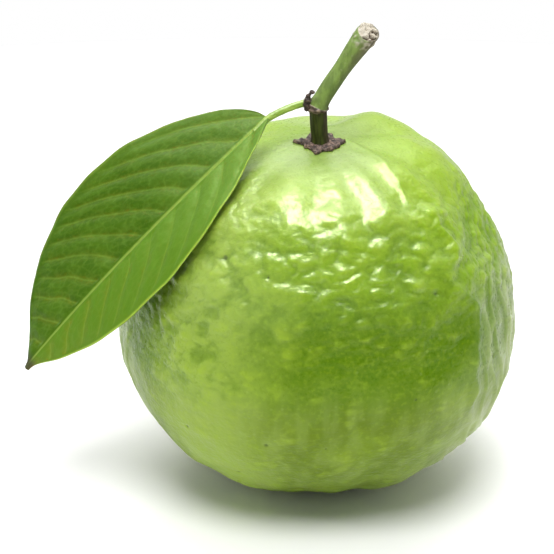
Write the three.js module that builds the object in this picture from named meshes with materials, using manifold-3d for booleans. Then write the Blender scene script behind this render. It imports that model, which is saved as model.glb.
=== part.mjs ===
// A guava, picked with its stalk, a short cut piece of its twig, and one leaf.
//
// Millimetres, +Z up. The origin is the middle of the small flat that the fruit rests on.
// The stalk end leans towards -Y, the leaf hangs out over the -X side, and the dried
// blossom end is low on the +Y side.

import * as THREE from "three";
import { mergeVertices } from "three/addons/utils/BufferGeometryUtils.js";
import Module from "manifold-3d";

const wasm = await Module();
wasm.setup();

const { degToRad, lerp, smoothstep } = THREE.MathUtils;

// ---- Driving dimensions ----

const clearance = 0.3; // between pieces that touch

const fruitWidth = 95; // along X
const fruitDepth = 93; // along Y
const crownHeight = 49; // from the widest level up to the shoulders
const baseHeight = 41.2; // from the widest level down, before the resting flat is taken off
const crownSquareness = 2.03; // 2 is an ellipsoid, and more is squarer
const baseSquareness = 2.15;
const flatDepth = 0.9; // how much the resting flat takes off the bottom

const stalkLean = degToRad(10.4); // of the stalk end, towards -Y
const blossomLean = degToRad(36); // of the blossom end, towards +Y
const stalkBasinDepth = 3.6;
const stalkBasinAngle = degToRad(18);
const blossomBasinDepth = 3;
const blossomBasinAngle = degToRad(7);

const ribCount = 5; // broad ribs that run from the stalk to the blossom end
const ribHeight = 0.5;
const ribTurn = degToRad(45); // where the first rib stands, from -Y towards +X
const unevenHeight = 0.4; // of three broad swellings that make the ribs unequal
const unevenTurn = degToRad(25);

const stalkRadius = 2;
const stalkFlare = 0.7; // more radius where the stalk leaves the fruit
const stalkLength = 9.3; // from the fruit to the twig
const stalkInset = 2.5; // how deep the stalk sits in the fruit
const stalkShift = -0.8; // the stalk's top, sideways

const collarRadius = 5.4; // of the dried ring round the stalk
const collarThickness = 0.9;
const collarRagged = 0.8; // how far its edge wanders

const twigRadius = 2;
const nodeSwelling = 0.5; // more radius at the leaf's node
const cutFlare = 0.95; // more radius at the cut end
const twigRun = new THREE.Vector3(11.2, 0.4, 16.6); // from the node to the cut end
const twigBend = 1.5; // how far the twig goes on in line with the stalk

const budLength = 2.6;
const budRadius = 0.85;
const budRise = 1.6; // over the twig's lower end
const budTurn = degToRad(-35); // round the twig, from -Y towards +X

const petioleRadius = 0.95;
const petioleLength = 9.3;
const petioleHeading = new THREE.Vector3(-0.91, -0.27, -0.31).normalize();

const leafLength = 82.5;
const leafWidth = 43;
const leafThickness = 0.8;
const leafTipWidth = 1;
const leafFacing = new THREE.Vector3(-0.54, -0.46, 0.71).normalize();
const leafFold = [degToRad(21), degToRad(9)]; // each half's rise, at the base and the tip
const leafRoll = [degToRad(3), degToRad(-9)]; // about the midrib, at the base and the tip
const leafWave = 0.7; // of the margin, up and down
const leafWaves = 4;

// The leaf bends over one place beside the fruit, and points at another.
const leafShoulder = { down: degToRad(57), around: degToRad(-63.5), lift: 13 };
const leafPointing = { down: degToRad(84), around: degToRad(-69), lift: 25 };

const sepalCount = 5;
const sepalLength = 4.2;
const sepalHalfWidth = 2;
const sepalThickness = 0.7;
const sepalRing = 4; // from the blossom end's middle to where the sepals start

// ---- Shared geometry ----

const xAxis = new THREE.Vector3(1, 0, 0);
const centre = new THREE.Vector3(0, 0, baseHeight - flatDepth);

// A bell-shaped hollow, 1 in its middle.
function hollow(angle, spread) {
  return Math.exp(-((angle / spread) ** 2));
}

// The fruit's surface. `down` is the angle from the stalk end along the fruit's bent core,
// `around` is the angle from the -Y side towards +X, and `lift` is a height over the skin.
function skin(down, around, lift = 0) {
  const direction = new THREE.Vector3(
    Math.sin(down) * Math.sin(around),
    -Math.sin(down) * Math.cos(around),
    Math.cos(down),
  );
  direction.applyAxisAngle(xAxis, lerp(stalkLean, blossomLean, (1 - Math.cos(down)) / 2));

  const inCrown = direction.z > 0;
  const halfSize = [fruitWidth / 2, fruitDepth / 2, inCrown ? crownHeight : baseHeight];
  const squareness = inCrown ? crownSquareness : baseSquareness;
  const reach = direction
    .toArray()
    .map((part, axis) => Math.abs(part / halfSize[axis]) ** squareness)
    .reduce((sum, term) => sum + term);
  const hull = reach ** (-1 / squareness);

  const rib = ribHeight * Math.cos(ribCount * (around - ribTurn));
  const uneven = unevenHeight * Math.cos(3 * (around - unevenTurn));
  const basins =
    stalkBasinDepth * hollow(down, stalkBasinAngle) +
    blossomBasinDepth * hollow(Math.PI - down, blossomBasinAngle);
  const radius = hull + (rib + uneven) * Math.sin(down) ** 2 - basins;

  return direction.multiplyScalar(radius + lift).add(centre);
}

// Moves every corner of a geometry to where place() puts it, and closes its seams.
function reshape(geometry, place) {
  geometry.deleteAttribute("normal");
  geometry.deleteAttribute("uv");
  const corners = geometry.getAttribute("position");
  const corner = new THREE.Vector3();
  for (let i = 0; i < corners.count; i += 1) {
    corner.fromBufferAttribute(corners, i);
    corners.setXYZ(i, ...place(corner));
  }
  return mergeVertices(geometry, 1e-4);
}

// A closed round bar along a curve. radiusAt(along) gives its radius, with along from 0 to 1.
function bar(curve, radiusAt, sides, steps) {
  return reshape(new THREE.CylinderGeometry(1, 1, 1, sides, steps), ({ x, y, z }) => {
    const along = y + 0.5;
    const tangent = curve.getTangentAt(along);
    const side = new THREE.Vector3(0, 1, 0).cross(tangent).normalize();
    const front = side.clone().cross(tangent);
    const radius = radiusAt(along);
    return curve
      .getPointAt(along)
      .addScaledVector(side, x * radius)
      .addScaledVector(front, z * radius);
  });
}

function toSolid(geometry) {
  return new wasm.Manifold(
    new wasm.Mesh({
      numProp: 3,
      vertProperties: geometry.getAttribute("position").array,
      triVerts: new Uint32Array(geometry.index.array),
    }),
  );
}

function toGeometry(solid) {
  const { vertProperties, triVerts } = solid.getMesh();
  return new THREE.BufferGeometry()
    .setAttribute("position", new THREE.BufferAttribute(vertProperties, 3))
    .setIndex(new THREE.BufferAttribute(triVerts, 1));
}

// ---- Fruit ----

// The stalk follows the fruit's core, from inside the fruit to the twig.
const stalkTop = skin(0, 0, stalkLength).addScaledVector(xAxis, stalkShift);

function stalkShape(extra) {
  const curve = new THREE.LineCurve3(skin(0, 0, -stalkInset - extra), stalkTop);
  const flareEnd = 0.6;
  const radiusAt = (along) =>
    stalkRadius + extra + stalkFlare * (1 - smoothstep(along, 0.15, flareEnd));
  return bar(curve, radiusAt, 20, 10);
}

function fruit() {
  const crowding = 0.2; // brings the rings of corners closer together at both ends
  const ball = reshape(new THREE.SphereGeometry(1, 64, 36), ({ x, y, z }) => {
    const angle = Math.acos(THREE.MathUtils.clamp(y, -1, 1));
    return skin(angle - crowding * Math.sin(2 * angle), Math.atan2(x, z));
  });
  const block = new THREE.BoxGeometry(fruitWidth, fruitDepth, baseHeight);
  const underFlat = reshape(block, ({ x, y, z }) => [x, y, z - baseHeight / 2]);
  const socket = toSolid(stalkShape(clearance));
  return toGeometry(toSolid(ball).subtract(toSolid(underFlat)).subtract(socket));
}

// ---- Stalk and its collar ----

function collar() {
  const inner = stalkRadius + stalkFlare + 2 * clearance;
  const outline = [
    [inner, 0],
    [collarRadius, 0],
    [collarRadius, 0.35 * collarThickness],
    [lerp(inner, collarRadius, 0.45), collarThickness],
    [inner, 0.8 * collarThickness],
    [inner, 0],
  ].map(([radius, height]) => new THREE.Vector2(radius, height));
  const coreRadius = skin(0, 0).distanceTo(centre);
  return reshape(new THREE.LatheGeometry(outline, 40), ({ x, y, z }) => {
    const around = Math.atan2(x, z);
    const radius = Math.hypot(x, z);
    const outward = (radius - inner) / (collarRadius - inner);
    const wander = collarRagged * (Math.cos(2 * around) * -0.5 + Math.cos(7 * around) * 0.5);
    return skin((radius + outward * wander) / coreRadius, around, clearance + y);
  });
}

// ---- Twig and bud ----

const stalkHeading = stalkTop.clone().sub(skin(0, 0)).normalize();
const node = stalkTop.clone().addScaledVector(stalkHeading, clearance);
const twigCurve = new THREE.QuadraticBezierCurve3(
  node,
  node.clone().addScaledVector(stalkHeading, twigBend),
  node.clone().add(twigRun),
);

function twig() {
  const radiusAt = (along) =>
    twigRadius +
    nodeSwelling * (1 - smoothstep(along, 0.08, 0.3)) +
    cutFlare * smoothstep(along, 0.6, 1);
  return bar(twigCurve, radiusAt, 20, 16);
}

// The petiole leaves the node sideways, at its thickest.
const leafSide = new THREE.Vector3(-1, 0, 0);
const petioleStart = node
  .clone()
  .addScaledVector(stalkHeading, petioleRadius + clearance)
  .addScaledVector(leafSide, twigRadius + nodeSwelling + clearance);
const leafBase = petioleStart.clone().addScaledVector(petioleHeading, petioleLength);

// The bud stands against the node, beside the petiole.
function bud() {
  const aside = twigRadius + nodeSwelling + clearance + budRadius;
  const foot = node
    .clone()
    .addScaledVector(stalkHeading, budRise)
    .add(new THREE.Vector3(Math.sin(budTurn), -Math.cos(budTurn), 0).multiplyScalar(aside));
  const tip = foot.clone().addScaledVector(stalkHeading, budLength);
  const radiusAt = (along) => budRadius * (1 - 0.6 * along ** 2);
  return bar(new THREE.LineCurve3(foot, tip), radiusAt, 12, 4);
}

// ---- Leaf ----

const leafBend = skin(leafShoulder.down, leafShoulder.around, leafShoulder.lift);
const leafEnd = skin(leafPointing.down, leafPointing.around, leafPointing.lift)
  .sub(leafBend)
  .setLength(leafLength - leafBend.distanceTo(leafBase))
  .add(leafBend);
const midrib = new THREE.QuadraticBezierCurve3(leafBase, leafBend, leafEnd);

// A point of the blade: along from 0 at the base to 1 at the tip, across from -1 to 1 with
// the midrib at 0, and up from 0 underneath to 1 on top.
function blade(along, across, up) {
  const tangent = midrib.getTangentAt(along);
  const roll = lerp(leafRoll[0], leafRoll[1], along);
  const facing = leafFacing.clone().projectOnPlane(tangent).normalize();
  facing.applyAxisAngle(tangent, roll);
  const side = facing.clone().cross(tangent);
  const outline = Math.sin(Math.PI * along ** 0.85) ** 0.7 * (1 - along ** 14);
  const halfWidth = (leafWidth / 2) * outline + leafTipWidth / 2;
  const fold = lerp(leafFold[0], leafFold[1], along);
  const rise = Math.abs(across) * halfWidth * Math.sin(fold);
  const waving = Math.sin(2 * Math.PI * leafWaves * along) * Math.sin(Math.PI * along);
  const wave = leafWave * across ** 2 * waving;
  return midrib
    .getPointAt(along)
    .addScaledVector(side, across * halfWidth * Math.cos(fold))
    .addScaledVector(facing, rise + wave + (up - 0.5) * leafThickness);
}

function leaf() {
  const sheet = reshape(new THREE.BoxGeometry(1, 1, 1, 28, 8, 1), ({ x, y, z }) =>
    blade(x + 0.5, 2 * y, z + 0.5),
  );
  const ribEnd = 0.7; // how far along the blade the thick part of the midrib reaches
  const ribPath = new THREE.CatmullRomCurve3([
    petioleStart,
    petioleStart.clone().lerp(leafBase, 0.5),
    ...[0.04, 0.2, 0.45, ribEnd].map((along) => blade(along, 0, -0.1)),
  ]);
  const ribRadius = (along) => lerp(petioleRadius, 0.35, smoothstep(along, 0.1, 1));
  return toGeometry(toSolid(sheet).add(toSolid(bar(ribPath, ribRadius, 10, 22))));
}

// ---- Sepals ----

// One pointed lobe that lies on the fruit, outwards from the blossom end's ring.
function sepal(turn) {
  const coreRadius = skin(Math.PI, 0).distanceTo(centre);
  return reshape(new THREE.BoxGeometry(1, 1, 1, 6, 4, 1), ({ x, y, z }) => {
    const along = x + 0.5;
    const radius = sepalRing + along * sepalLength;
    const halfWidth = sepalHalfWidth * Math.sqrt(1.03 - along);
    const aside = Math.atan2(2 * y * halfWidth, radius);
    return skin(
      Math.PI - radius / coreRadius,
      turn - aside,
      clearance + (z + 0.5) * sepalThickness,
    );
  });
}

// ---- Assembly ----

function piece(name, geometry, colour, roughness) {
  const material = new THREE.MeshStandardMaterial({ color: colour, roughness, metalness: 0 });
  const mesh = new THREE.Mesh(geometry, material);
  mesh.name = name;
  return mesh;
}

const guava = new THREE.Group();
guava.add(
  piece("guava_fruit", fruit(), 0x92b43c, 0.35),
  piece("stalk_collar", collar(), 0x64603a, 0.85),
  piece("fruit_stalk", stalkShape(0), 0x3a3f16, 0.7),
  piece("twig", twig(), 0x69793d, 0.7),
  piece("bud", bud(), 0x3b2a1c, 0.85),
  piece("leaf", leaf(), 0x5d8020, 0.5),
);
for (let i = 0; i < sepalCount; i += 1) {
  const turn = ((i + 0.5) * 2 * Math.PI) / sepalCount;
  guava.add(piece(`sepal_${i + 1}`, sepal(turn), 0x6d5738, 0.85));
}

export default guava;
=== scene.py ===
"""A guava with its stalk, cut twig and leaf: its looks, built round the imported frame."""

import math

import bpy
import numpy as np
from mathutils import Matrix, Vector, noise
from mathutils.bvhtree import BVHTree


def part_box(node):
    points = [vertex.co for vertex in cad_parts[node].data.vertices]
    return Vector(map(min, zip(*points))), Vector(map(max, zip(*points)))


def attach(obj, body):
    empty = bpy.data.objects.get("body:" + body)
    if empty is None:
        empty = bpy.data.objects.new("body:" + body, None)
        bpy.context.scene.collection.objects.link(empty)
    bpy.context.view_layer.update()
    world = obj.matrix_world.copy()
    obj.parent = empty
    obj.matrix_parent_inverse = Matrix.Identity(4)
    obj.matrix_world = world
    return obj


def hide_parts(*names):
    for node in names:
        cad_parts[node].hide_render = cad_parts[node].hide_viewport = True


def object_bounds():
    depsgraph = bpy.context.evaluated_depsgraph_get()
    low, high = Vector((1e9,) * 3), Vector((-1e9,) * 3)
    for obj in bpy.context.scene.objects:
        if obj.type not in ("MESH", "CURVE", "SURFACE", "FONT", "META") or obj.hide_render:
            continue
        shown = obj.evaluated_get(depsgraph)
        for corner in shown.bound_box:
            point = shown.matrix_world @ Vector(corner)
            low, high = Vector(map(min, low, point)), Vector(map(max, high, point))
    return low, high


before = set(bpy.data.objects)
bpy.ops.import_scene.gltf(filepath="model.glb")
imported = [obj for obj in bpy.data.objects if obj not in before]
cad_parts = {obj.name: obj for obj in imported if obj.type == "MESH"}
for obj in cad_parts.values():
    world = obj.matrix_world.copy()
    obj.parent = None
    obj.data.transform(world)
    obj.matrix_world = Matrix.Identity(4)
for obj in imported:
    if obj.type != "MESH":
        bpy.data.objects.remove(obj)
cad_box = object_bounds()

MM = 0.001
scene = bpy.context.scene
FRUIT_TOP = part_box("guava_fruit")[1].z
FRUIT_CENTRE = Vector((0, 0, 0.46 * FRUIT_TOP))

CAMERA_RISE = math.radians(19)  # above the floor
CAMERA_LENS = 100  # millimetres
CAMERA_REACH = 0.375  # metres, from the point that it looks at


def viewpoint():
    """Where the camera stands, and the direction to it from the fruit."""
    low, high = cad_box
    back = Vector((0, -math.cos(CAMERA_RISE), math.sin(CAMERA_RISE)))
    aim = Vector(((low.x + high.x) / 2 + 0.6 * MM, 2 * MM, 0.44 * high.z))
    return aim + back * CAMERA_REACH, back


# ---------------------------------------------------------------- shape helpers


def node_points(node):
    """A CAD node's corners, as an array in metres."""
    return np.array([v.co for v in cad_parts[node].data.vertices])


def place_in(node, share):
    """The point at the given shares of a CAD node's box."""
    low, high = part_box(node)
    return Vector([a + (b - a) * s for a, b, s in zip(low, high, share)])


def smooth(low, high, value):
    """0 up to low, 1 from high on, and a smooth step between. It falls where low is above high."""
    t = np.clip((value - low) / (high - low), 0, 1)
    return t * t * (3 - 2 * t)


def bell(value, middle, width):
    """1 in the middle, about a third at one width from it and almost 0 at two."""
    return np.exp(-(((value - middle) / width) ** 2))


def noise_at(points, size, shift=0.0):
    """Smooth noise from about -1 to 1, with lumps of the given size along x, y and z."""
    return np.array([noise.noise(Vector(p)) for p in points / np.array(size) + shift])


def cells_at(points, size, shift=0.0):
    """How far each point is inside its cell: 0 on the borders, and about 1 in the middle."""
    inside = np.empty(len(points))
    for i, p in enumerate(points / np.array(size) + shift):
        near = noise.voronoi(Vector(p))[0]
        inside[i] = near[1] - near[0]
    return inside


def bark_noise(turn, rise, size, shift=0.0):
    """Noise that closes on itself round a bar, from the turn about it and the rise along it."""
    return noise_at(np.stack([np.cos(turn), np.sin(turn), rise], -1), size, shift)


def grid_noise(*parts):
    """Smooth noise on a grid, from three numbers at each of its points."""
    return noise_at(np.stack([part.ravel() for part in parts], -1), 1.0).reshape(parts[0].shape)


def add_mesh(name, points, faces, fields=None):
    """A new smooth-shaded mesh object, with named numbers on its points for the materials."""
    mesh = bpy.data.meshes.new(name)
    mesh.from_pydata(points, [], faces)
    mesh.shade_smooth()
    piece = bpy.data.objects.new(name, mesh)
    scene.collection.objects.link(piece)
    set_fields(piece, fields or {})
    return piece


def set_fields(piece, fields):
    """Stores named numbers on a piece's points, for its material."""
    for name, values in fields.items():
        attribute = piece.data.attributes.new(name, "FLOAT", "POINT")
        attribute.data.foreach_set("value", np.asarray(values, np.float32))


def points_of(piece):
    points = np.empty(len(piece.data.vertices) * 3, np.float32)
    piece.data.vertices.foreach_get("co", points)
    return points.reshape(-1, 3).astype(float)


def normals_of(piece):
    normals = np.empty(len(piece.data.vertices) * 3, np.float32)
    piece.data.vertex_normals.foreach_get("vector", normals)
    return normals.reshape(-1, 3).astype(float)


def move_points(piece, points):
    piece.data.vertices.foreach_set("co", np.asarray(points, np.float32).ravel())
    piece.data.update()


def displace(piece, height):
    """Moves each point of a piece out along its normal, by its height in millimetres."""
    move_points(piece, points_of(piece) + normals_of(piece) * height[:, None] * MM)


def fine_copy(node, name, voxel, rounds):
    """A CAD node's solid as a new piece, with small even faces and its corners rounded."""
    piece = bpy.data.objects.new(name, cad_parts[node].data.copy())
    scene.collection.objects.link(piece)
    remesh = piece.modifiers.new("remesh", "REMESH")
    remesh.mode = "VOXEL"
    remesh.voxel_size = voxel
    soften = piece.modifiers.new("soften", "SMOOTH")
    soften.iterations = rounds
    soften.factor = 0.5
    graph = bpy.context.evaluated_depsgraph_get()
    mesh = bpy.data.meshes.new_from_object(piece.evaluated_get(graph))
    piece.modifiers.clear()
    piece.data = mesh
    mesh.materials.clear()
    mesh.shade_smooth()
    return piece


def domed(path, radii, ways, dome):
    """A bar's path, radii and directions, with a dome's rings added at both ends. Also returns
    how far along the bar each ring is."""
    tilt = np.linspace(0, 1, 16)[1:-1] * math.pi / 2
    rings = []
    for end, side in ((0, -1), (-1, 1)):
        centres = path[end] + side * dome * radii[end] * np.sin(tilt)[:, None] * ways[end]
        rings.append((centres, radii[end] * np.cos(tilt), np.tile(ways[end], (len(tilt), 1))))
    first, last = rings
    along = np.linspace(0, 1, len(path))
    along = np.concatenate([np.zeros(len(tilt)), along, np.ones(len(tilt))])
    path = np.concatenate([first[0][::-1], path, last[0]])
    radii = np.concatenate([first[1][::-1], radii, last[1]])
    return path, radii, np.concatenate([first[2], ways, last[2]]), along


def tube(name, path, radii, sides, dome=0.3):
    """A closed round bar along path, with domed ends. Also returns how far along it each point
    is, and its turn about the bar."""
    ways = np.gradient(path, axis=0)
    ways /= np.linalg.norm(ways, axis=1, keepdims=True)
    path, radii, ways, along = domed(path, radii, ways, dome)
    across = np.cross(ways, (0.0, 1.0, 0.0))
    across /= np.linalg.norm(across, axis=1, keepdims=True)
    front = np.cross(ways, across)
    turn = np.linspace(0, 2 * math.pi, sides, endpoint=False)
    ring = np.cos(turn)[:, None] * across[:, None] + np.sin(turn)[:, None] * front[:, None]
    points = (path[:, None] + radii[:, None, None] * ring).reshape(-1, 3)
    points = np.concatenate([points, path[:1], path[-1:]])
    index = np.arange(len(path) * sides).reshape(len(path), sides)
    following = np.roll(index, -1, axis=1)
    quads = np.stack([index[:-1], following[:-1], following[1:], index[1:]], -1)
    faces = quads.reshape(-1, 4).tolist()
    first, last = len(points) - 2, len(points) - 1
    faces += [[first, b, a] for a, b in zip(index[0], following[0])]
    faces += [[last, a, b] for a, b in zip(index[-1], following[-1])]
    along = np.concatenate([np.repeat(along, sides), [0, 1]])
    turn = np.concatenate([np.tile(turn, len(path)), [0, 0]])
    return add_mesh(name, points, faces), along, turn


def curve(points, steps):
    """A smooth path through a first and a last point, which the middle one bends."""
    a, b, c = (np.array(p) for p in points)
    t = np.linspace(0, 1, steps)[:, None]
    return (1 - t) ** 2 * a + 2 * t * (1 - t) * b + t**2 * c


def finish_piece(piece, material, slot, *nodes):
    """Gives a piece its material, and says what it rides on and which nodes it replaces."""
    piece.data.materials.append(material)
    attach(piece, "root")
    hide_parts(*nodes)


# ---------------------------------------------------------------- material helpers


class Paint:
    """A material under construction: short names for the nodes that the materials here use."""

    def __init__(self, name):
        self.material = bpy.data.materials.new(name)
        self.material.use_nodes = True
        self.tree = self.material.node_tree
        self.shader = self.tree.nodes["Principled BSDF"]
        self.place = self.tree.nodes.new("ShaderNodeTexCoord").outputs["Object"]

    def link(self, value, socket):
        """Sets a socket to a number, a colour or another node's output."""
        if isinstance(value, bpy.types.NodeSocket):
            self.tree.links.new(value, socket)
        else:
            socket.default_value = (*value, 1) if socket.type == "RGBA" else value

    def field(self, name, times=None):
        """A named number from the piece's points, times a fixed amount where one is given."""
        node = self.tree.nodes.new("ShaderNodeAttribute")
        node.attribute_name = name
        value = node.outputs["Fac"]
        return value if times is None else self.math("MULTIPLY", value, times)

    def math(self, operation, a, b=0.0):
        node = self.tree.nodes.new("ShaderNodeMath")
        node.operation = operation
        self.link(a, node.inputs[0])
        self.link(b, node.inputs[1])
        return node.outputs[0]

    def spread(self, value, low, high, to_low=0.0, to_high=1.0):
        """value from low to high becomes to_low to to_high, with smooth ends."""
        node = self.tree.nodes.new("ShaderNodeMapRange")
        node.interpolation_type = "SMOOTHSTEP"
        for socket, number in zip(node.inputs, (value, low, high, to_low, to_high)):
            self.link(number, socket)
        return node.outputs["Result"]

    def height(self):
        """Height above the floor, in metres."""
        node = self.tree.nodes.new("ShaderNodeSeparateXYZ")
        self.link(self.place, node.inputs[0])
        return node.outputs["Z"]

    def noise(self, size, detail=2.0, stretch=(1, 1, 1), rough=0.5):
        """Noise from 0 to 1 with lumps of about the given size in metres, times stretch."""
        node = self.tree.nodes.new("ShaderNodeTexNoise")
        self.link(self.stretched(stretch), node.inputs["Vector"])
        node.inputs["Scale"].default_value = 1 / size
        node.inputs["Detail"].default_value = detail
        node.inputs["Roughness"].default_value = rough
        return node.outputs["Fac"]

    def dots(self, size, stretch=(1, 1, 1)):
        """Distance to the nearest of scattered points, in units of their spacing."""
        node = self.tree.nodes.new("ShaderNodeTexVoronoi")
        self.link(self.stretched(stretch), node.inputs["Vector"])
        node.inputs["Scale"].default_value = 1 / size
        return node.outputs["Distance"]

    def stretched(self, stretch):
        """The place on the piece, scaled so that a texture there is stretched."""
        node = self.tree.nodes.new("ShaderNodeMapping")
        self.link(self.place, node.inputs["Vector"])
        node.inputs["Scale"].default_value = [1 / s for s in stretch]
        return node.outputs[0]

    def mix(self, share, a, b):
        """Colour a where share is 0, and b where it is 1."""
        node = self.tree.nodes.new("ShaderNodeMix")
        node.data_type = "RGBA"
        self.link(share, node.inputs["Factor"])
        self.link(a, node.inputs[6])
        self.link(b, node.inputs[7])
        return node.outputs[2]

    def layered(self, body, layers):
        """A body colour under layers, each a share that shows and its colour."""
        for share, colour in layers:
            body = self.mix(share, body, colour)
        return body

    def bump(self, height, depth, after=None):
        """Raises the surface by height times depth in metres, on top of another bump."""
        node = self.tree.nodes.new("ShaderNodeBump")
        self.link(height, node.inputs["Height"])
        node.inputs["Distance"].default_value = depth
        if after is not None:
            self.link(after, node.inputs["Normal"])
        return node.outputs[0]

    def finish(self, colour, roughness, normal=None, settings=None):
        """The finished material. settings holds the shader's other inputs, by their names."""
        self.link(colour, self.shader.inputs["Base Color"])
        self.link(roughness, self.shader.inputs["Roughness"])
        if normal is not None:
            self.link(normal, self.shader.inputs["Normal"])
        for name, value in (settings or {}).items():
            self.link(value, self.shader.inputs[name])
        return self.material


# ---------------------------------------------------------------- fruit

SKIN_CELLS = 176  # along each side of the cube that the fruit's mesh starts from
SKIN_ROUNDS = 90  # of smoothing, which take the CAD's facets away
SOCKET = 5  # degrees round the stalk where the CAD fruit is hollow and the skin closes it
FOLD_GAP = 4.6  # millimetres between the flanks' folds
SCAR_COUNT = 34
SCAR_RADII = (0.3 * MM, 0.8 * MM)
SCAR_DEPTH = 0.35  # millimetres


def quad_sphere(cells):
    """Unit directions and four-sided faces of a cube blown up into a ball."""
    steps = np.tan(np.linspace(-math.pi / 4, math.pi / 4, cells + 1))
    u, v = np.meshgrid(steps, steps, indexing="ij")
    one = np.ones_like(u)
    sides = [(one, u, v), (-one, v, u), (v, one, u), (u, -one, v), (u, v, one), (v, u, -one)]
    corners = np.stack([np.stack(side, -1) for side in sides])
    corners /= np.linalg.norm(corners, axis=-1, keepdims=True)
    points, index = np.unique(corners.reshape(-1, 3).round(7), axis=0, return_inverse=True)
    index = index.reshape(corners.shape[:3])
    around = [index[:, :-1, :-1], index[:, 1:, :-1], index[:, 1:, 1:], index[:, :-1, 1:]]
    return points, np.stack(around, -1).reshape(-1, 4)


def smoothed(values, faces, rounds):
    """values on a mesh's points, each mixed with its neighbours' mean again and again."""
    a = faces.ravel()
    b = np.roll(faces, -1, axis=1).ravel()
    count = np.bincount(a, minlength=len(values))
    for _ in range(rounds):
        mean = np.bincount(a, values[b], len(values)) / count
        values = 0.5 * values + 0.5 * mean
    return values


def skin_radii(directions, faces, stalk_axis):
    """The smooth distance from the fruit's centre to its skin, from the CAD fruit."""
    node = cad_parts["guava_fruit"]
    graph = bpy.context.evaluated_depsgraph_get()
    tree = BVHTree.FromObject(node, graph)
    radii = np.array([tree.ray_cast(FRUIT_CENTRE, Vector(d))[3] for d in directions])
    from_stalk = np.degrees(np.arccos(np.clip(directions @ stalk_axis, -1, 1)))
    rim = (from_stalk > SOCKET) & (from_stalk < SOCKET + 1)
    radii[from_stalk < SOCKET] = radii[rim].mean()
    return smoothed(radii, faces, SKIN_ROUNDS)


# Swellings between the creases: their turn, how far they are from the stalk, their half
# width and half length in degrees, and their height in millimetres.
LOBES = [
    (-16, 34, 12, 9, 0.9),
    (9, 35, 9, 8, 0.8),
    (31, 32, 7, 12, 0.8),
    (60, 25, 10, 9, 0.6),
    (143, 28, 17, 11, 1.5),
    (98, 32, 16, 14, 1.0),
]

# Creases that run out of the stalk basin: the way they go from the front (-Y) towards +X,
# their half width there, both in degrees, their depth in millimetres, and how far they
# reach from the stalk, in degrees about the fruit's centre.
CREASES = [
    (-128, 20, 0.8, 44),
    (-84, 17, 1.5, 40),
    (-44, 11, 0.6, 40),
    (-4, 8, 0.6, 40),
    (20, 7, 0.6, 44),
    (46, 9, 0.7, 44),
    (78, 10, 0.6, 44),
    (119, 10, 1.9, 26),
    (166, 13, 2.0, 34),
]


def crown_shapes(spoke, from_stalk, lumps):
    """The creases' depth and the swellings' height round the stalk, in millimetres."""
    creases = np.zeros(len(spoke))
    for turn, width, depth, reach in CREASES:
        off = (spoke - turn + 2.5 * lumps + 180) % 360 - 180
        far = smooth(9, 24, from_stalk) * (1 - smooth(reach - 16, reach + 8, from_stalk))
        creases += depth * far * bell(off, 0, width)
    swellings = np.zeros(len(spoke))
    for turn, middle, width, length, rise in LOBES:
        swellings += rise * bell(spoke, turn, width) * bell(from_stalk, middle, length)
    return creases, swellings


def flank_folds(p, way, level, drift):
    """How far each point is in the wrinkled flanks, and the folds and the fine net there."""
    start = 42 + 16 * smooth(0.6, 0.78, level)
    right = smooth(start, start + 13, way) * smooth(118, 92, way)
    left = smooth(-64, -78, way) * smooth(-118, -98, way)
    flank = np.maximum(right, left)
    flank *= smooth(0.04, 0.16, level) * (1 - smooth(0.80, 0.93, level))
    around = np.radians(way) * np.hypot(p[:, 0], p[:, 1]) / FOLD_GAP
    sheet = np.stack([around + 0.7 * drift, p[:, 2] / 15 + 0.1 * around, 0 * level], -1)
    folds = noise_at(sheet * (1.1, 1.4, 1.0), 1.0, 31.0)
    net = bell(cells_at(sheet, 1.0, 2.0), 0, 0.17)
    return flank, folds, net


def side_relief(way, level, drift, lumps):
    """The fruit's uneven sides: a bent ridge with a hollow beside it, and its broad swellings."""
    bend = 43 + 9 * drift + 3 * lumps
    ridge = bell(way, bend, 5) * smooth(0.2, 0.4, level) * (1 - smooth(0.8, 0.92, level))
    hollow = bell(way, bend + 22, 14)
    hollow *= smooth(0.1, 0.35, level) * (1 - smooth(0.75, 0.95, level))
    height = 0.8 * ridge - 0.5 * hollow
    height += 0.4 * bell(way, bend, 2.0) * smooth(0.3, 0.5, level)
    height += 0.7 * bell(way, 88, 40) * bell(level, 0.45, 0.2)
    height -= 0.8 * bell(way, 75, 30) * bell(level, 0.76, 0.10)
    height -= 1.6 * bell(way, 72, 40) * bell(level, 0.14, 0.14)
    height += 1.4 * bell((way + 50) % 360, 180, 50) * bell(level, 0.93, 0.09)
    return height


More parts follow.
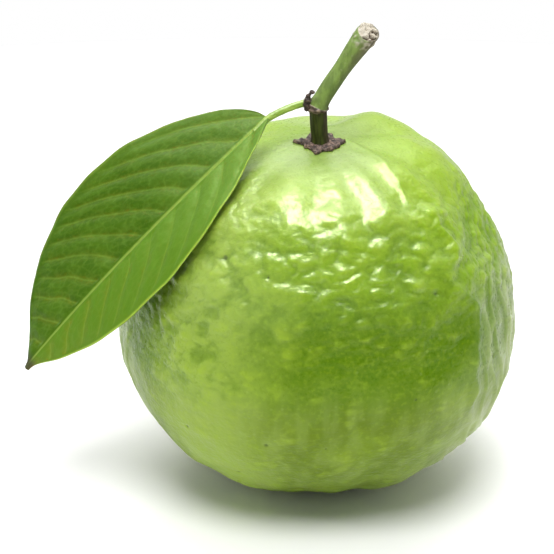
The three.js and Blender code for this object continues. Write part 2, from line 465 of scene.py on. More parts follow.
def fruit_relief(points, directions, stalk_axis):
    """The skin's relief as a height in millimetres, and the fields that its colours use."""
    p = points / MM
    top = FRUIT_TOP / MM
    level = p[:, 2] / top
    way = np.degrees(np.arctan2(directions[:, 0], -directions[:, 1]))
    from_stalk = np.degrees(np.arccos(np.clip(directions @ stalk_axis, -1, 1)))
    spoke = np.degrees(np.arctan2(p[:, 0], -(p[:, 1] - stalk_axis[1] * top / 2)))

    uneven = noise_at(p, (19, 19, 13), 23.0)
    broad = noise_at(p, (14, 14, 10), 3.1)
    drift = noise_at(p, (9, 9, 12), 17.0)
    lumps = noise_at(p, (6.2, 6.2, 4.4), 7.7)
    small = noise_at(p, (2.6, 2.6, 1.9), 11.3)
    tiny = noise_at(p, (1.3, 1.3, 1.0), 14.9)
    warped = p + 1.2 * np.stack([small, tiny, lumps], -1)
    pebbles = smooth(0, 0.6, cells_at(warped, (5.4, 5.4, 3.0), 5.0))
    beads = smooth(0, 0.5, cells_at(warped, (2.2, 2.2, 1.5), 9.0))
    flutes = noise_at(np.stack([way / 13, way * 0, level * 1.4], -1), 1.0, 20.0)
    flutes *= smooth(178, 150, np.abs(way))

    front = 0.6 + 0.4 * smooth(105, 50, np.abs(way))
    crown = smooth(12, 26, from_stalk)
    upper = smooth(0.58, 0.74, level) * crown
    band = bell(level + 0.05 * uneven, 0.71, 0.18) * front * crown * (1 + 0.6 * uneven)
    creases, swellings = crown_shapes(spoke, from_stalk, lumps)
    flank, folds, net = flank_folds(p, way, level, drift)

    height = swellings - creases
    height += 0.85 * broad * (0.6 + 0.4 * upper)
    height += (0.24 + 0.45 * upper * front) * lumps * smooth(12, 36, from_stalk)
    height += (0.04 + 0.28 * band) * small
    height += band * (0.36 * pebbles + 0.12 * beads)
    height += (0.015 + 0.03 * band) * tiny
    height += flank * smooth(1.05, 0.5, level) * (0.6 * net + 0.4 * folds)
    height += 0.9 * bell(level, 0.1, 0.13) * flutes
    height += side_relief(way, level, drift, lumps)

    # The skin is pale on the front's left, partly its own tone and partly painted light that
    # lifts the leaf's shadow there; greyish on the lower sides, partly its own tone and partly a
    # painted grazing reflection; dull on both sides; and darker beside the leaf's lower edge,
    # where a shadow of the leaf is painted.
    pale_and_painted_light = smooth(-6, -34, way + 8 * uneven) * smooth(-62, -44, way)
    dull_sides = np.maximum(0.6 * smooth(24, 50, way), 0.8 * smooth(-40, -55, way))
    grey_and_rim_sheen_right = smooth(45 - 25 * smooth(0.6, 0.35, level), 68, way)
    grey_and_rim_sheen = np.maximum(grey_and_rim_sheen_right, 0.3 * smooth(-60, -86, way))
    grey_and_rim_sheen *= smooth(140, 95, np.abs(way)) * smooth(0.76, 0.46, level)
    fields = {
        "net": net * flank * smooth(0.85, 0.6, level) * np.clip(0.8 + 0.9 * folds, 0, 1),
        "lump": 0.32 + 0.35 * lumps + 0.25 * small + 0.35 * pebbles + 0.08 * beads,
        "band": bell(level + 0.05 * uneven, 0.63, 0.24) * front,
        "pale_and_painted_light": pale_and_painted_light * (1 - smooth(0.88, 0.97, level)),
        "sheen": (1 - 0.6 * flank) * (1 - smooth(150, 110, np.abs(way)) * dull_sides),
        "shaded": bell(way, -80 + 42 * level, 7) * bell(level, 0.69, 0.13),
        "grey_and_rim_sheen": grey_and_rim_sheen * (0.45 + 0.55 * smooth(-0.35, 0.4, folds)),
        "basin": 1 - smooth(8, 28, from_stalk),
        "crease": np.clip(creases / 1.6, 0, 1),
    }
    return height, fields


def pits(points, centres, radii):
    """0 away from the pits, and 1 in their middles."""
    depth = np.zeros(len(points))
    for centre, radius in zip(centres, radii):
        distance = np.linalg.norm(points - centre, axis=1)
        depth = np.maximum(depth, bell(distance, 0, radius))
    return depth


def scattered_pits(directions, radii):
    """Centres and sizes of small scars, most of them on the lower half."""
    random = np.random.default_rng(7)
    centres, sizes = [], []
    while len(centres) < SCAR_COUNT:
        i = random.integers(len(directions))
        if random.random() > smooth(0.9, -0.2, directions[i, 2]):
            continue
        centres.append(np.array(FRUIT_CENTRE) + directions[i] * radii[i])
        sizes.append(random.uniform(*SCAR_RADII))
    return centres, sizes


def make_fruit():
    """The skin: the CAD fruit's smooth shape with its relief, cut flat where it meets the floor."""
    directions, faces = quad_sphere(SKIN_CELLS)
    stalk_axis = node_points("fruit_stalk").mean(0) - np.array(FRUIT_CENTRE)
    stalk_axis /= np.linalg.norm(stalk_axis)
    radii = skin_radii(directions, faces, stalk_axis)
    points = np.array(FRUIT_CENTRE) + directions * radii[:, None]
    height, fields = fruit_relief(points, directions, stalk_axis)
    scars = pits(points, *scattered_pits(directions, radii))
    radii = radii + (height - SCAR_DEPTH * scars) * MM
    to_floor = np.full(len(radii), np.inf)
    down = directions[:, 2] < -0.5
    to_floor[down] = -FRUIT_CENTRE.z / directions[down, 2]
    radii = np.minimum(radii, to_floor)
    fields["scar"] = scars
    points = np.array(FRUIT_CENTRE) + directions * radii[:, None]
    fruit = add_mesh("fruit", points, faces, fields)
    finish_piece(fruit, skin_material(), "fruit_skin", "guava_fruit")
    return fruit


def skin_colour(paint, level, grain):
    light = (0.35, 0.50, 0.030)
    patches = paint.noise(0.010, 3, (1.3, 1.3, 0.8))
    # hollow: darker green between the lumps, partly mottled skin and partly painted shade
    hollow = paint.spread(paint.field("lump"), 0.55, 0.1, 0, 0.55)
    hollow = paint.math("MULTIPLY", hollow, paint.spread(paint.field("band"), 0, 0.7))
    streaks = paint.spread(paint.noise(0.004, 3, (1, 1, 6)), 0.4, 0.7, 0, 0.35)
    streaks = paint.math("MULTIPLY", paint.spread(level, 0.5, 0.3), streaks)
    layers = [
        (paint.spread(level, 0.26, 0.46), (0.093, 0.188, 0.001)),  # deep green above the foot
        (paint.spread(level, 0.62, 0.84), (0.205, 0.355, 0.005)),  # fresher over the middle
        (paint.spread(level, 0.88, 1.0), (0.30, 0.465, 0.022)),  # pale on top
        # pale left of the front: partly the skin's own tone, partly painted light lifting the leaf's
        # shadow
        (paint.field("pale_and_painted_light", 0.68), (0.36, 0.50, 0.085)),
        (paint.spread(patches, 0.45, 0.72, 0, 0.38), (0.25, 0.38, 0.03)),
        # lighter on the lumps' tops and darker in their hollows: partly mottled skin, partly painted
        # light and shade of the relief
        (paint.spread(paint.field("lump"), 0.5, 1.0, 0, 0.4), light),
        (hollow, (0.070, 0.165, 0.001)),
        (paint.spread(grain, 0.48, 0.72, 0, 0.2), light),
        (streaks, (0.30, 0.41, 0.09)),
        # greyish lower sides: partly the skin's own tone, partly a painted grazing reflection
        (paint.field("grey_and_rim_sheen", 0.62), (0.47, 0.53, 0.28)),
        # pale lines on the net of wrinkles: a painted grazing reflection on their ridges
        (paint.field("net", 0.5), (0.48, 0.56, 0.30)),
        # painted shadow of the leaf on the skin below its lower edge
        (paint.field("shaded", 0.7), (0.045, 0.105, 0.001)),
        (paint.spread(paint.dots(0.0032), 0.09, 0.16, 0.12, 0), (0.42, 0.55, 0.15)),  # flecks
        (paint.field("crease", 0.15), (0.17, 0.31, 0.03)),
        # painted shade: darker grey-green down in the stalk's basin
        (paint.field("basin", 0.6), (0.18, 0.29, 0.05)),
        (paint.spread(paint.field("scar"), 0.25, 0.9, 0, 0.7), (0.05, 0.08, 0.02)),
    ]
    return paint.layered((0.122, 0.195, 0.008), layers)


def skin_material():
    """Green skin with a waxy coat on its upper half."""
    paint = Paint("guava_skin")
    level = paint.spread(paint.height(), 0, FRUIT_TOP)
    grain = paint.noise(0.0010, 3)
    haze = paint.spread(level, 0.45, 0.15, 0.3, 0.42)
    roughness = paint.math("ADD", haze, paint.spread(grain, 0.3, 0.7, -0.04, 0.06))
    pores = paint.bump(paint.noise(0.0007, 3), 0.00012)
    normal = paint.bump(paint.noise(0.0016, 2, (1.3, 1.3, 0.8)), 0.00025, pores)
    body = skin_colour(paint, level, grain)
    waxy = paint.spread(level, 0.55, 0.80, 0.06, 0.85)
    settings = {
        "Specular Tint": (0.8, 1.0, 0.3),
        "Specular IOR Level": 0.3,
        "Coat Weight": paint.math("MULTIPLY", waxy, paint.field("sheen")),
        "Coat IOR": 1.55,
        "Coat Roughness": 0.42,
        "Subsurface Weight": 0.2,
        "Subsurface Scale": 3 * MM,
        "Subsurface Radius": (0.6, 1.0, 0.2),
    }
    return paint.finish(body, roughness, normal, settings)


# ---------------------------------------------------------------- leaf

LEAF_WIDTH = 43 * MM
LEAF_GRID = (340, 181)  # points along and across
LEFT_HALF, RIGHT_HALF = 0.545, 0.40  # widest, as shares of LEAF_WIDTH
BLADE = 0.34  # millimetres thick between the veins
LEAF_FACING = Vector((-0.54, -0.46, 0.71)).normalized()
LEAF_FOLD = (math.radians(21), math.radians(9))  # each half's rise, at the base and the tip
LEAF_ROLL = (math.radians(3), math.radians(-9))
VEIN_GAP = 7.2  # millimetres between side veins, along the midrib
PETIOLE_RADIUS = 0.82  # millimetres
PETIOLE_ROWS = 16  # of the blade's mesh that the petiole runs on under
VEIN_LEAD = 2.4  # millimetres by which the right half's veins come before the left half's

# The midrib's three guide points, as shares of the CAD leaf's box.
MIDRIB_GUIDES = [(0.863, 0.843, 0.936), (0.351, 0.382, 0.478), (0.008, 0.484, 0.006)]


def midrib_at(rows):
    """Points and directions of the midrib, a curve from its base to its tip."""
    points = curve([place_in("leaf", share) for share in MIDRIB_GUIDES], rows)
    ways = np.gradient(points, axis=0, edge_order=2)
    return points, ways / np.linalg.norm(ways, axis=1, keepdims=True)


def turned(vectors, axes, angles):
    """Each vector turned about its axis, which is at right angles to it."""
    angles = angles[:, None]
    return vectors * np.cos(angles) + np.cross(axes, vectors) * np.sin(angles)


def half_widths(along, across):
    """How wide the blade is along its midrib, on the side where across is."""
    left = LEFT_HALF * np.sin(math.pi * along**0.85) ** 0.68
    right = RIGHT_HALF * np.sin(math.pi * along**0.92) ** 0.95
    half = LEAF_WIDTH * np.where(across < 0, left, right)
    return half * (1 - along**16) + 0.6 * MM


def leaf_frame(rows):
    """The midrib's points, and the directions to the blade's side and out of it there."""
    along = np.linspace(0, 1, rows)
    points, ways = midrib_at(rows)
    facing = np.array(LEAF_FACING) - ways * (ways @ np.array(LEAF_FACING))[:, None]
    facing /= np.linalg.norm(facing, axis=1, keepdims=True)
    facing = turned(facing, ways, LEAF_ROLL[0] + (LEAF_ROLL[1] - LEAF_ROLL[0]) * along)
    return points, np.cross(facing, ways), facing


def leaf_veins(run, out, across):
    """The side veins' order along the blade, how much of them shows, and the veins and the
    grooves over them, for points run millimetres along the midrib and out millimetres off."""
    lead = np.where(across > 0, VEIN_LEAD, 0.0)
    stray = 0.8 * grid_noise(run / 9, across * 3, 0 * across)
    order = (run - 0.5 * out - 0.03 * out**2 + lead + stray) / VEIN_GAP
    to_vein = np.abs(order - np.round(order)) * VEIN_GAP * (0.85 - 0.4 * np.abs(across))
    fade = smooth(0.4, 1.5, out) * (1 - smooth(0.82, 0.97, np.abs(across)))
    return order, fade, bell(to_vein, 0, 0.19) * fade, bell(to_vein, 0, 0.8) * fade


def leaf_sheet(points, rows, columns):
    """The blade on a grid, rows along the midrib and columns from edge to edge: how far each
    point is out to the side and up, its relief, all in millimetres, and its fields."""
    along, across = np.meshgrid(np.linspace(0, 1, rows), np.linspace(-1, 1, columns), indexing="ij")
    length = np.linalg.norm(np.diff(points, axis=0), axis=1).sum() / MM
    run = along * length
    out = np.abs(across) * half_widths(along, across) / MM
    fold = LEAF_FOLD[0] + (LEAF_FOLD[1] - LEAF_FOLD[0]) * along
    fold *= np.where(across < 0, 1.0, 0.45)

    order, fade, vein, groove = leaf_veins(run, out, across)
    rib = bell(out, 0, 0.7 - 0.38 * along)
    quilt = np.cos(2 * math.pi * order) * fade * (1 - 0.6 * np.abs(across))
    fine = grid_noise(run / 2.2, out / 2.2, np.sign(across))
    relief = -0.20 * groove - 0.17 * quilt + 0.07 * fine - 0.25 * rib

    droop = 0.12 * np.sin(2 * math.pi * 4 * along) * np.sin(math.pi * along) * across**2
    wave = 0.12 * np.sin(2 * math.pi * 7.3 * along + 1.0 + across) * np.abs(across) ** 3
    curl = -0.7 * np.abs(across) ** 3 * smooth(0, 0.2, along)
    sideways = np.sign(across) * out * np.cos(fold)
    up = out * np.sin(fold) + droop + wave * smooth(0, 0.1, along) + curl

    cells = np.stack([order * 3.2, out / 2.2, np.sign(across)], -1).reshape(-1, 3)
    fields = {
        "vein": vein,
        "rib": rib,
        "mesh": bell(cells_at(cells, 1.0).reshape(run.shape), 0, 0.1) * fade,
        "edge": smooth(0.955, 0.99, np.abs(across)) * smooth(0.02, 0.1, along),
        "tip": smooth(0.94, 0.98, along),
        "half": smooth(-0.06, 0.06, across),
        "along": along,
        "across": across,
    }
    return sideways, up, relief, fields


def laid_back(points, along, across):
    """Leaf points moved away from the camera, so that the blade lies close over the fruit: the
    whole blade more towards its tip, and its right half more again. Depths in millimetres."""
    depth = np.interp(along, (0, 0.25, 0.55, 1), (0, 1.5, 4, 5))
    right = np.interp(along, (0, 0.15, 0.35, 0.6, 0.8, 1), (0, 3, 4.5, 8, 8, 0))
    depth += np.clip(across, 0, 1) * right
    away = points - np.array(viewpoint()[0])
    away /= np.linalg.norm(away, axis=-1, keepdims=True)
    return points + depth[..., None] * away * MM


def closed_sheet(rows, columns):
    """The faces of a closed sheet: its upper grid, its under grid and the wall round its edge."""
    index = np.arange(rows * columns).reshape(rows, columns)
    grid = np.stack([index[:-1, :-1], index[1:, :-1], index[1:, 1:], index[:-1, 1:]], -1)
    grid = grid.reshape(-1, 4)
    rim = np.concatenate([index[0], index[1:, -1], index[-1, -2::-1], index[-2:0:-1, 0]])
    below = rim + rows * columns
    wall = np.stack([rim, np.roll(rim, -1), np.roll(below, -1), below], -1)
    return np.concatenate([grid, grid[:, ::-1] + rows * columns, wall])


def make_leaf():
    """The folded blade with its ribs and veins, and its petiole."""
    rows, columns = LEAF_GRID
    points, side, facing = leaf_frame(rows)
    sideways, up, relief, fields = leaf_sheet(points, rows, columns)
    rib, along = fields["rib"], fields["along"]
    half_thick = 0.5 * BLADE * (1 - 0.5 * fields["edge"])
    top = up + relief + half_thick + 0.1 * rib
    under = up - half_thick - 0.75 * rib * (1 - 0.5 * along) - 0.2 * fields["vein"]
    layers = []
    for height in (top, under):
        offset = sideways[..., None] * side[:, None] + height[..., None] * facing[:, None]
        layer = laid_back(points[:, None] + offset * MM, along, fields["across"])
        layers.append(layer.reshape(-1, 3))
    doubled = {name: np.tile(values.ravel(), 2) for name, values in fields.items()}
    doubled["under"] = np.repeat([0.0, 1.0], rows * columns)
    blade = add_mesh("leaf_blade", np.concatenate(layers), closed_sheet(rows, columns), doubled)
    finish_piece(blade, leaf_material(), "leaf_blade", "leaf")
    make_petiole(points, facing)


def make_petiole(midrib, facing):
    """The leaf's stalk, from the twig's node to under the blade's first part."""
    joint = np.array(place_in("leaf", (0.994, 0.906, 0.985)))
    node = np.array(place_in("twig", (0.155, 0.434, 0.1)))
    start = joint + 0.45 * (node - joint)
    base = midrib[0] - facing[0] * 0.3 * MM
    bend = (start + base) / 2 + np.array((0, 0, 1.1)) * MM
    path = curve((start, bend, base), 110)
    under = midrib[PETIOLE_ROWS] - facing[PETIOLE_ROWS] * 0.5 * MM
    path = np.concatenate([path, np.linspace(path[-1], under, 22)[1:]])
    along = np.linspace(0, 1, len(path))
    radii = PETIOLE_RADIUS + 0.5 * bell(along, 0, 0.09) - 0.14 * smooth(0.75, 1, along)
    petiole, along, _ = tube("petiole", path, radii * MM, 48)
    p = points_of(petiole) / MM
    height = 0.05 * noise_at(p, 0.7, 3.0)
    height += 0.3 * bell(along, 0, 0.1) * noise_at(p, (0.5, 0.9, 0.9), 5.0)
    displace(petiole, height)
    set_fields(petiole, {"along": along})
    finish_piece(petiole, petiole_material(), "leaf_blade", "leaf")


def leaf_material():
    """Dark green above, lighter on its right half as painted light where that half faces up to the
    lamps, and dull and pale under.
    """
    paint = Paint("guava_leaf")
    grain = paint.noise(0.0009, 2)
    veins = paint.field("vein", 0.45)
    right = paint.spread(paint.field("across"), -0.5, 0.5, 0.2, 0.8)
    pale = (0.18, 0.31, 0.04)
    layers = [
        # painted light: the right half lighter, as it faces up to the lamps
        (paint.field("half"), (0.098, 0.215, 0.012)),
        (paint.spread(paint.noise(0.009, 4), 0.35, 0.7, 0, 0.35), (0.095, 0.20, 0.008)),  # patches
        (paint.spread(grain, 0.45, 0.7, 0, 0.2), (0.12, 0.24, 0.02)),
        (paint.spread(paint.field("along"), 0.45, 0.0, 0, 0.25), (0.17, 0.30, 0.06)),
        (paint.field("mesh", 0.16), pale),
        (veins, pale),
        (paint.spread(paint.field("rib"), 0.3, 0.9, 0, 0.65), (0.29, 0.42, 0.07)),
        (paint.math("MULTIPLY", paint.field("edge"), right), (0.36, 0.52, 0.06)),
        (paint.field("tip", 0.85), (0.055, 0.045, 0.035)),
    ]
    body = paint.layered((0.040, 0.108, 0.001), layers)
    underside = paint.mix(veins, (0.22, 0.31, 0.10), (0.42, 0.50, 0.22))
    body = paint.mix(paint.spread(paint.field("under"), 0.3, 0.7), body, underside)
    roughness = paint.spread(grain, 0.3, 0.7, 0.40, 0.52)
    cells = paint.bump(paint.noise(0.0007, 2), 0.00006)
    normal = paint.bump(paint.noise(0.0022, 3), 0.00014, cells)
    settings = {
        "Specular Tint": (0.8, 1.0, 0.4),
        "Specular IOR Level": 0.25,
        "Subsurface Weight": 0.12,
        "Subsurface Scale": 1.2 * MM,
    }
    return paint.finish(body, roughness, normal, settings)


def petiole_material():
    paint = Paint("guava_petiole")
    streaks = paint.noise(0.0011, 3, (4, 4, 1))
    body = paint.mix(paint.spread(streaks, 0.35, 0.7), (0.22, 0.36, 0.035), (0.36, 0.50, 0.08))
    scar = paint.spread(paint.field("along"), 0.09, 0.16, 0.95, 0)
    body = paint.mix(scar, body, (0.075, 0.045, 0.028))
    return paint.finish(body, 0.45, paint.bump(streaks, 0.0001))


# ---------------------------------------------------------------- twig, stalk and scales


TWIG_RADIUS = 1.95  # millimetres
STALK_RADIUS = 2.0
BUD_RADIUS = 0.66


def slant_end(twig, path, along):
    """Slants the twig's cut end. Returns the direction that the cut faces, and how far each
    point is off the twig's middle line at its end, in metres."""
    line = path[-1] - path[-12]
    line /= np.linalg.norm(line)
    cut = 0.62 * line + 0.5 * np.array((0, -0.93, 0.37))
    cut /= np.linalg.norm(cut)
    points = points_of(twig)
    off = points - path[-1]
    off -= (off @ line)[:, None] * line
    slant = -(off @ cut) / (line @ cut) * smooth(0.72, 1.0, along)
    move_points(twig, points + slant[:, None] * line)
    return cut, off


def make_twig():
    """The cut twig: a node with scales at its foot, bark, and a slanted face of rough wood."""
    guides = [(0.155, 0.434, 0.02), (0.148, 0.389, 0.104), (0.855, 0.502, 0.93)]
    path = curve([place_in("twig", share) for share in guides], 150)
    along = np.linspace(0, 1, len(path))
    radii = TWIG_RADIUS + 0.6 * bell(along, 0.05, 0.17) + 0.6 * smooth(0.62, 0.97, along) ** 1.5
    twig, along, turn = tube("cut_twig", path, radii * MM, 110, dome=0.22)
    cut, off = slant_end(twig, path, along)
    p = points_of(twig) / MM
    end_face = smooth(0.45, 0.85, normals_of(twig) @ cut) * smooth(0.93, 0.99, along)
    wobble = bark_noise(turn, along * 4, 1.0, 3.3)
    streaks = bark_noise(turn, along * 0.9, (0.28, 0.28, 1), 1.0)
    flakes = noise_at(p, (0.9, 0.9, 0.5), 2.0)
    rough = noise_at(p, 0.9, 8.0)
    grit = noise_at(p, 0.35, 8.0)
    caves = smooth(0.08, 0.45, noise_at(p, 1.4, 5.3) + 0.1 * (off[:, 0] - off[:, 2]) / MM)
    scales = smooth(0.12, 0.08, along + 0.03 * wobble) * (0.6 + 0.8 * flakes)
    rim = bell(along, 0.965, 0.03) * (1 - end_face)
    height = 0.14 * wobble + 0.06 * streaks * (1 - end_face) + 0.38 * scales
    height += end_face * (0.45 * rough + 0.12 * grit - 1.0 * caves) + 0.3 * rim * (0.4 + rough)
    displace(twig, height)
    fields = {
        "cut": np.maximum(end_face, 0.7 * rim * smooth(-0.1, 0.4, rough)),
        "cave": end_face * caves,
        "worn": smooth(0.6, 0.95, along + 0.12 * wobble) * smooth(0.4, -0.8, np.cos(turn)),
        "scale": smooth(0.13, 0.08, along + 0.03 * wobble),
        "shade": smooth(0.1, -0.9, np.cos(turn)),
        "high": 0.5 + 0.5 * flakes,
    }
    set_fields(twig, fields)
    finish_piece(twig, twig_material(), "twig_bark", "twig")


def twig_material():
    """Green bark, darkened to olive on one side by painted shade, brown on its worn side, with pale
    wood on the cut face.
    """
    paint = Paint("guava_twig")
    streaks = paint.noise(0.0011, 3, (1, 1, 3))
    grain = paint.noise(0.0005, 3)
    high = paint.spread(paint.field("high"), 0.3, 0.75)
    scaly = paint.mix(high, (0.05, 0.03, 0.02), (0.27, 0.19, 0.14))
    wood = paint.mix(grain, (0.33, 0.28, 0.20), (0.62, 0.57, 0.46))
    layers = [
        (paint.spread(streaks, 0.35, 0.65), (0.11, 0.18, 0.022)),
        # painted shade: the side away from the lamps darkened to olive
        (paint.field("shade", 0.75), (0.068, 0.09, 0.016)),
        (paint.field("worn", 0.8), (0.10, 0.065, 0.035)),
        (paint.field("scale"), scaly),
        (paint.spread(paint.dots(0.0011), 0.10, 0.2, 0.35, 0), (0.30, 0.30, 0.14)),  # specks
        (paint.field("cut"), wood),
        (paint.spread(paint.field("cave"), 0.2, 0.8, 0, 0.85), (0.13, 0.09, 0.055)),
    ]
    body = paint.layered((0.18, 0.28, 0.042), layers)
    rough = paint.bump(grain, 0.00012)
    return paint.finish(body, 0.62, paint.bump(streaks, 0.00018, rough))


def make_stalk():
    """The dark fruit stalk, ribbed along and ringed at its head."""
    foot = np.array(place_in("fruit_stalk", (0.513, 0.607, 0.10)))
    head = np.array(place_in("fruit_stalk", (0.368, 0.291, 1.03)))
    path = np.linspace(foot, head, 90)
    along = np.linspace(0, 1, len(path))
    radii = STALK_RADIUS + 0.7 * smooth(0.45, 0.15, along) ** 2
    stalk, along, turn = tube("dark_stalk", path, radii * MM, 100)
    ridges = bark_noise(turn, along * 1.5, (0.6, 0.6, 1), 6.0)
    streaks = bark_noise(turn, along * 2.5, (0.2, 0.2, 1), 4.0)
    uneven = noise_at(points_of(stalk) / MM, (0.7, 0.7, 0.3), 9.0)
    rings = bell(along, 0.93, 0.06) * (0.5 + uneven)
    displace(stalk, 0.16 * ridges + 0.08 * streaks + 0.25 * rings)
    edge = smooth(0.5, 0.95, np.abs(np.cos(turn + 0.25)))
    brown = np.clip(rings + 0.8 * edge + 0.9 * smooth(0.3, 0.2, along), 0, 1)
    set_fields(stalk, {"brown": brown, "streak": 0.5 + 0.5 * streaks})
    finish_piece(stalk, stalk_material(), "stalk_bark", "fruit_stalk")


def stalk_material():
    paint = Paint("guava_stalk")
    grain = paint.noise(0.0008, 3, (1, 1, 4))
    streak = paint.spread(paint.field("streak"), 0.3, 0.7)
    body = paint.mix(streak, (0.018, 0.026, 0.003), (0.055, 0.075, 0.008))
    body = paint.mix(paint.spread(grain, 0.45, 0.7, 0, 0.5), body, (0.075, 0.085, 0.02))
    bark = paint.mix(grain, (0.018, 0.011, 0.007), (0.075, 0.048, 0.03))
    body = paint.mix(paint.field("brown"), body, bark)
    return paint.finish(body, 0.6, paint.bump(grain, 0.00015), {"Specular IOR Level": 0.2})


def roughen(piece, coarse, fine, seed):
    """Breaks a dried piece's surface up with two sizes of noise, in millimetres."""
    p = points_of(piece) / MM
    coarse_noise = noise_at(p, (1.3, 1.3, 0.8), seed)
    fine_noise = noise_at(p, (0.4, 0.4, 0.3), seed)
    displace(piece, coarse * coarse_noise + fine * fine_noise)
    set_fields(piece, {"high": 0.5 + 0.5 * coarse_noise + 0.3 * fine_noise})


def dried_material(name, dark, light):
    """Flaky dried plant, light on its high spots and darker in its hollows, where shade is painted."""
    paint = Paint(name)
    flakes = paint.noise(0.0007, 4, (1, 1, 0.6), 0.6)
    high = paint.field("high")
    body = paint.mix(paint.spread(flakes, 0.35, 0.65), dark, light)
    # painted shade: darker in the hollows
    body = paint.mix(paint.spread(high, 0.35, 0.8, 0.65, 0), body, tuple(0.4 * c for c in dark))
    return paint.finish(body, 0.72, paint.bump(flakes, 0.0003))


COLLAR_HOLE = 1.6  # millimetres from its middle, inside the stalk
COLLAR_REACH = 3.9  # millimetres from its middle, between the scales

# The collar's pointed scales: their way from the front (-Y) towards +X and their half
# width, in degrees, and how far they reach past the ring, in millimetres.
SCALES = [
    (-97, 11, 2.6),
    (-58, 12, 0.6),
    (-14, 12, 1.6),
    (32, 12, 0.5),
    (68, 11, 0.9),
    (101, 13, 2.0),
    (150, 16, 1.0),
    (-150, 15, 1.1),
]


def make_collar(fruit):
    """A ragged ring of dried scales on the skin, tight round the foot of the stalk."""
    skin = BVHTree.FromObject(fruit, bpy.context.evaluated_depsgraph_get())
    low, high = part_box("stalk_collar")
    middle = Vector(((low.x + high.x) / 2, (low.y + high.y) / 2 + 0.15 * MM, 0))
    turns, steps = 260, 34
    turn = np.linspace(-180, 180, turns, endpoint=False)
    reach = COLLAR_REACH + 0.5 * bark_noise(np.radians(turn), 0 * turn, 0.25)
    for way, width, extra in SCALES:
        off = (turn - way + 180) % 360 - 180
        reach += extra * np.exp(-np.abs(off / width) ** 1.3)
    across = np.linspace(0, 1, steps)
    points = []
    for angle, limit in zip(np.radians(turn), reach):
        way = Vector((math.sin(angle), -math.cos(angle), 0))
        for share in across:
            spot = middle + way * (COLLAR_HOLE + share * (limit - COLLAR_HOLE)) * MM
            spot.z = high.z + 10 * MM
            points.append(skin.ray_cast(spot, Vector((0, 0, -1)))[0])
    points = np.array(points)
    share = np.tile(across, turns)
    p = points / MM
    flakes = noise_at(p, 1.0, 2.5)
    fine = noise_at(p, 0.35, 6.5)
    swirl = noise_at(np.stack([turn / 22, 0 * turn, 0 * turn], -1), 1.0, 4.0)
    swirl = np.repeat(swirl * smooth(178, 150, np.abs(turn)), steps)
    thick = 0.36 + 0.5 * (1 - share) ** 2 + 0.3 * smooth(0.5, 0.95, share) + 0.5 * swirl * share
    thick = (thick + 0.35 * flakes + 0.18 * fine) * smooth(1.02, 0.94, share) + 0.12
    top = points.copy()
    top[:, 2] += thick * MM
    under = points.copy()
    under[:, 2] += np.minimum(0.12 + 0.35 * smooth(0.6, 1, share) * (0.5 + swirl), thick * 0.5) * MM
    index = np.arange(turns * steps).reshape(turns, steps)
    index = np.concatenate([index, index[:1]])
    grid = np.stack([index[:-1, :-1], index[:-1, 1:], index[1:, 1:], index[1:, :-1]], -1).reshape(-1, 4)
    rims = []
    for column, flip in ((0, True), (-1, False)):
        a, b = index[:-1, column], index[1:, column]
        rim = np.stack([a, a + len(points), b + len(points), b], -1)
        rims.append(rim[:, ::-1] if flip else rim)
    faces = np.concatenate([grid, grid[:, ::-1] + len(points), *rims])
    high_field = np.tile(0.5 + 0.5 * flakes + 0.25 * fine, 2)
    collar = add_mesh("dried_collar", np.concatenate([top, under]), faces, {"high": high_field})
    material = dried_material("dried_collar", (0.040, 0.024, 0.016), (0.33, 0.22, 0.165))
    finish_piece(collar, material, "dried_bark", "stalk_collar")


def make_bud():
    """A dried bud that curls over the joint of leaf and twig."""
    shares = [(0.35, 1.43, -0.45), (0.1, 1.09, 0.4), (1.1, 1.03, 1.0)]
    path = curve([place_in("bud", share) for share in shares], 70)
    along = np.linspace(0, 1, len(path))
    radii = BUD_RADIUS * (1 - 0.4 * smooth(0.3, 1, along)) * MM
    bud = tube("dried_bud", path, radii, 60, dome=0.8)[0]
    roughen(bud, 0.35, 0.12, 1.5)
    material = dried_material("dried_bud", (0.030, 0.018, 0.012), (0.12, 0.075, 0.05))
    finish_piece(bud, material, "dried_bark", "bud")


def make_sepals():
    """The dried sepals, from their CAD solids."""
    material = dried_material("dried_sepals", (0.10, 0.065, 0.035), (0.27, 0.20, 0.10))
    for node in sorted(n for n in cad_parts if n.startswith("sepal_")):
        sepal = fine_copy(node, "dried_" + node, 0.12 * MM, 3)
        roughen(sepal, 0.22, 0.08, 4.0)
        finish_piece(sepal, material, "dried_sepal", node)


# ---------------------------------------------------------------- stage, light and camera


FLOOR_RADIUS = 0.6


def make_floor():
    turn = np.linspace(0, 2 * math.pi, 96, endpoint=False)
    rim = FLOOR_RADIUS * np.stack([np.cos(turn), np.sin(turn), 0 * turn], -1)
    floor = add_mesh("floor", rim, [range(len(rim))])
    paint = Paint("pale_floor")
    shade = paint.mix(paint.noise(0.3, 2), (0.93, 0.93, 0.93), (0.95, 0.95, 0.95))
    floor.data.materials.append(paint.finish(shade, 0.7))


def soft_light(name, place, size, power, aim, shades=True, gleams=True):
    """An oval lamp. It lights surfaces only if it shades, and shows in them only if it gleams."""
    light = bpy.data.lights.new(name, "AREA")
    light.shape = "ELLIPSE"
    light.size, light.size_y = size
    light.energy = power
    lamp = bpy.data.objects.new(name, light)
    lamp.location = place
    lamp.rotation_mode = "QUATERNION"
    lamp.rotation_quaternion = (aim - Vector(place)).to_track_quat("-Z", "Y")
    lamp.visible_diffuse = shades
    lamp.visible_glossy = gleams
    scene.collection.objects.link(lamp)


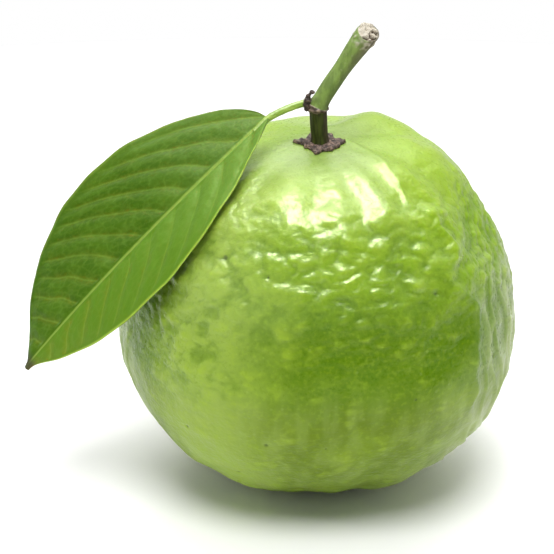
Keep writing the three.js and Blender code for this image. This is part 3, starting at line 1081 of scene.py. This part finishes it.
def make_lights():
    """The lamps. The one above is split in two, so that its bright spots have a place of their own."""
    aim = FRUIT_CENTRE
    soft_light("overhead", (0.0, -0.36, 0.80), (0.5, 0.46), 6.0, aim, gleams=False)
    soft_light("gleam", (-0.02, -0.11, 0.84), (0.54, 0.42), 16, aim, shades=False)
    soft_light("left_fill", (-0.5, -0.95, 0.4), (0.9, 0.9), 1.2, aim)
    soft_light("backdrop", (0, 0.9, 1.5), (2.4, 1.2), 22, Vector((0, 0.9, 0)))


def make_world():
    """A white room: plain white to the camera, and dimmer on the front side as a light."""
    world = bpy.data.worlds.new("white_room")
    world.use_nodes = True
    links, nodes = world.node_tree.links, world.node_tree.nodes
    way = nodes.new("ShaderNodeTexCoord").outputs["Generated"]
    parts = nodes.new("ShaderNodeSeparateXYZ")
    glow = nodes.new("ShaderNodeMapRange")
    glow.interpolation_type = "SMOOTHSTEP"
    for socket, value in zip(list(glow.inputs)[1:5], (-0.75, 0.25, 0.12, 0.68)):
        socket.default_value = value
    links.new(way, parts.inputs[0])
    links.new(parts.outputs["Y"], glow.inputs[0])
    seen = nodes.new("ShaderNodeMix")
    seen.inputs["B"].default_value = 1.0
    links.new(nodes.new("ShaderNodeLightPath").outputs["Is Camera Ray"], seen.inputs["Factor"])
    links.new(glow.outputs[0], seen.inputs["A"])
    links.new(seen.outputs[0], nodes["Background"].inputs["Strength"])
    nodes["Background"].inputs["Color"].default_value = (1, 1, 1, 1)
    scene.world = world


def make_camera():
    place, back = viewpoint()
    camera = bpy.data.objects.new("camera", bpy.data.cameras.new("camera"))
    camera.data.lens = CAMERA_LENS
    camera.data.clip_start = 10 * MM
    camera.location = place
    camera.rotation_mode = "QUATERNION"
    camera.rotation_quaternion = (-back).to_track_quat("-Z", "Y")
    scene.collection.objects.link(camera)
    scene.camera = camera


scene.view_settings.view_transform = "Standard"
make_camera()
make_lights()
make_world()
make_floor()
fruit = make_fruit()
make_leaf()
make_twig()
make_stalk()
make_collar(fruit)
make_bud()
make_sepals()
